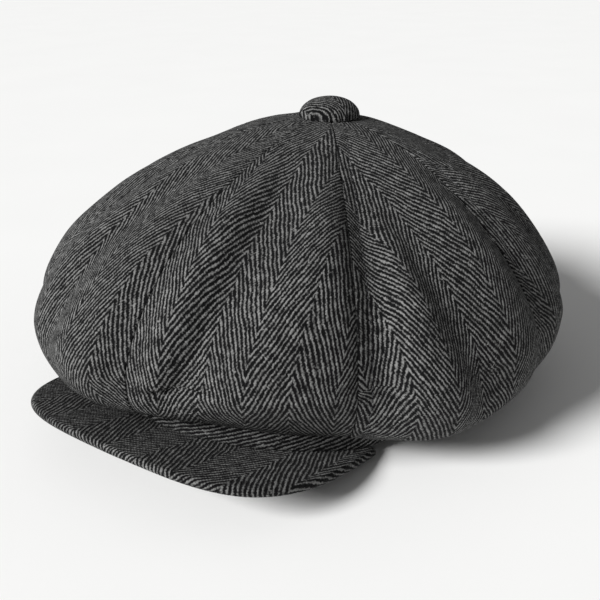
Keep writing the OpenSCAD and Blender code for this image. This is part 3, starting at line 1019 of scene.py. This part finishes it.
def studio_floor():
    """Matt painted board: pale, with the faint mottle of a roller."""
    made, tree, shader = new_material("matt_painted_board")
    place = add(tree, "ShaderNodeTexCoord", output="Object")
    mottle = add(tree, "ShaderNodeTexNoise", {"Vector": place, "Scale": 1 / 0.12, "Detail": 4.0})
    shade = linear(colours().floor)
    stops = ((0.3, shaded(shade, 0.985)), (0.7, shade))
    tint = add(tree, "ShaderNodeValToRGB", {"Fac": mottle}, stops=stops)
    tree.links.new(tint, shader.inputs["Base Color"])
    shader.inputs["Roughness"].default_value = 0.9
    return made


def material(name, make):
    """The material of that name, made when it is first asked for."""
    return bpy.data.materials.get(name) or make()


def finish_node(node, made):
    """Gives a CAD node a better material."""
    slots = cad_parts[node].data.materials
    slots.clear()
    slots.append(made)


def tweed_material():
    return material("wool_herringbone_tweed", wool_tweed)


def thread_material():
    return material("spun_polyester_thread", sewing_thread)


# ---------- Operators ----------


class CAP_OT_crown(bpy.types.Operator):
    """Eight tweed panels of the crown"""

    bl_idname = "cap.crown"
    bl_label = "Crown panels"

    def execute(self, context):
        for k in range(1, PANELS + 1):
            crown_panel(k, tweed_material())
        return {"FINISHED"}


class CAP_OT_topstitching(bpy.types.Operator):
    """A row of topstitching beside each seam of the crown"""

    bl_idname = "cap.topstitching"
    bl_label = "Topstitching"

    def execute(self, context):
        for k in range(1, PANELS + 1):
            panel_topstitch(k, thread_material())
        return {"FINISHED"}


class CAP_OT_button(bpy.types.Operator):
    """The covered button on the peak, and the finish of the metal and thread inside it"""

    bl_idname = "cap.button"
    bl_label = "Button"

    def execute(self, context):
        button_cover(tweed_material())
        for node, made in (
            ("button_shell", material("tinned_sheet_steel", tinned_steel)),
            ("button_back", material("tinned_sheet_steel", tinned_steel)),
            ("button_thread", thread_material()),
        ):
            finish_node(node, made)
        return {"FINISHED"}


class CAP_OT_head_band(bpy.types.Operator):
    """The outer head band in two pieces, and the canvas stiffener inside it"""

    bl_idname = "cap.head_band"
    bl_label = "Head band"

    def execute(self, context):
        tweed, ends = tweed_material(), (-PANEL_ANGLE, PANEL_ANGLE, 2 * math.pi - PANEL_ANGLE)
        head_band("head_band_front_tweed", *ends[:2], 121, tweed, "head_band_front")
        head_band("head_band_back_tweed", *ends[1:], 301, tweed, "head_band_back")
        canvas = plain_weave("cotton_canvas", colours().canvas, 0.0009, 0.9)
        place = dict(inside=0.0023, thickness=0.0008, low=0.0030, high=sizes().band_h)
        inner_strip(
            "band_stiffener_canvas", **place, material=canvas, slot="stiffener", node="band_stiffener"
        )
        return {"FINISHED"}


class CAP_OT_sweatband(bpy.types.Operator):
    """The ribbed sweatband against the forehead"""

    bl_idname = "cap.sweatband"
    bl_label = "Sweatband"

    def execute(self, context):
        made = material("cotton_grosgrain", ribbed_cotton)
        place = dict(inside=0.0037, thickness=0.0012, low=0.0005, high=sizes().sweatband_h)
        inner_strip(
            "sweatband_grosgrain", **place, material=made, slot="sweatband", node="sweatband", wavy=0.004
        )
        angles = np.linspace(0, 2 * math.pi, 721)
        x, y = oval(angles, 0.0050)
        path = np.stack([x, y, lift(angles) + 0.0042], -1)
        up = np.stack([-x, -y, np.zeros_like(x)], -1)
        row = stitch_row("sweatband_stitching", path, up, thread_material(), 0.0005)
        soft_piece(row, "thread")
        return {"FINISHED"}


class CAP_OT_visor(bpy.types.Operator):
    """The visor's top and under cloths, and the finish of its board"""

    bl_idname = "cap.visor"
    bl_label = "Visor"

    def execute(self, context):
        tweed = tweed_material()
        low = VISOR_CLEAR + UNDER_DROP
        visor_skin("visor_top_tweed", tweed, "visor_top", EDGE_WRAP, VISOR_CLEAR, True)
        visor_skin("visor_under_tweed", tweed, "visor_under", UNDER_INSET, low, False)
        finish_node("visor_board", visor_board_plastic())
        return {"FINISHED"}


class CAP_OT_lining(bpy.types.Operator):
    """Eight satin gores of the lining, and its blank woven label"""

    bl_idname = "cap.lining"
    bl_label = "Lining and label"

    def execute(self, context):
        satin = material("viscose_satin", satin_lining)
        for k in range(1, PANELS + 1):
            lining_gore(k, satin)
        label = plain_weave("woven_label_taffeta", colours().label, 0.0007, 0.7)
        lining_label(label, thread_material())
        return {"FINISHED"}


def direction(azimuth, elevation):
    """Unit vector away from the cap. Azimuth 0 is in front of it, a quarter turn on the wearer's left."""
    flat = math.cos(elevation)
    return Vector((math.sin(azimuth) * flat, -math.cos(azimuth) * flat, math.sin(elevation)))


def soft_light(name, azimuth, elevation, strength, spread):
    """A wide, soft light from far away, with its angles in degrees."""
    data = bpy.data.lights.new(name, "SUN")
    data.energy = strength
    data.angle = math.radians(spread)
    obj = bpy.data.objects.new(name, data)
    bpy.context.scene.collection.objects.link(obj)
    away = direction(math.radians(azimuth), math.radians(elevation))
    obj.location = away
    obj.rotation_euler = (-away).to_track_quat("-Z", "Y").to_euler()


class CAP_OT_stage(bpy.types.Operator):
    """The pale floor, the soft light and the camera"""

    bl_idname = "cap.stage"
    bl_label = "Stage"

    def execute(self, context):
        scene = context.scene
        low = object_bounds()[0]
        bpy.ops.object.select_all(action="DESELECT")
        bpy.ops.mesh.primitive_plane_add(size=60, location=(0, 0, low.z - 0.0005))
        floor = context.active_object
        floor.name = "studio_floor"
        floor.data.materials.append(studio_floor())
        floor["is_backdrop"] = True

        world = bpy.data.worlds.new("soft_studio")
        world.use_nodes = True
        world.node_tree.nodes["Background"].inputs[0].default_value = (1, 1, 1, 1)
        world.node_tree.nodes["Background"].inputs[1].default_value = 0.21
        scene.world = world
        scene.view_settings.view_transform = "Standard"
        soft_light("key_light", -23, 33, 4.5, 20)

        azimuth, elevation, roll = (math.radians(x) for x in (33.9, 20.66, -0.94))
        target, distance = Vector((0, 0, 0.063)), 0.4045
        away = direction(azimuth, elevation)
        data = bpy.data.cameras.new("camera")
        data.lens, data.sensor_width = 47.0, 36
        data.shift_x, data.shift_y = 0.0, -0.0983
        camera = bpy.data.objects.new("camera", data)
        scene.collection.objects.link(camera)
        camera.location = target + away * distance
        camera.rotation_mode = "QUATERNION"
        camera.rotation_quaternion = (-away).to_track_quat("-Z", "Y")
        camera.rotation_quaternion.rotate(Quaternion(away, roll))
        scene.camera = camera
        return {"FINISHED"}


class CAP_PT_panel(bpy.types.Panel):
    """Lists the pieces of the cap"""

    bl_idname = "CAP_PT_panel"
    bl_label = "Newsboy Cap"
    bl_space_type = "VIEW_3D"
    bl_region_type = "UI"
    bl_category = "Cap"

    def draw(self, context):
        for operator in OPERATORS:
            self.layout.operator(operator.bl_idname)
        for group in (context.scene.cap_sizes, context.scene.cap_colours):
            box = self.layout.box()
            for key in group.bl_rna.properties.keys():
                if key not in ("rna_type", "name"):
                    box.prop(group, key)


OPERATORS = (
    CAP_OT_crown,
    CAP_OT_topstitching,
    CAP_OT_button,
    CAP_OT_head_band,
    CAP_OT_sweatband,
    CAP_OT_visor,
    CAP_OT_lining,
    CAP_OT_stage,
)
CLASSES = (CapSizes, CapColours, *OPERATORS, CAP_PT_panel)


def register():
    for cls in CLASSES:
        bpy.utils.register_class(cls)
    bpy.types.Scene.cap_sizes = bpy.props.PointerProperty(type=CapSizes)
    bpy.types.Scene.cap_colours = bpy.props.PointerProperty(type=CapColours)


def unregister():
    del bpy.types.Scene.cap_colours
    del bpy.types.Scene.cap_sizes
    for cls in reversed(CLASSES):
        bpy.utils.unregister_class(cls)


def main():
    register()
    for operator in OPERATORS:
        group, name = operator.bl_idname.split(".")
        getattr(getattr(bpy.ops, group), name)()


if __name__ == "__main__":
    main()
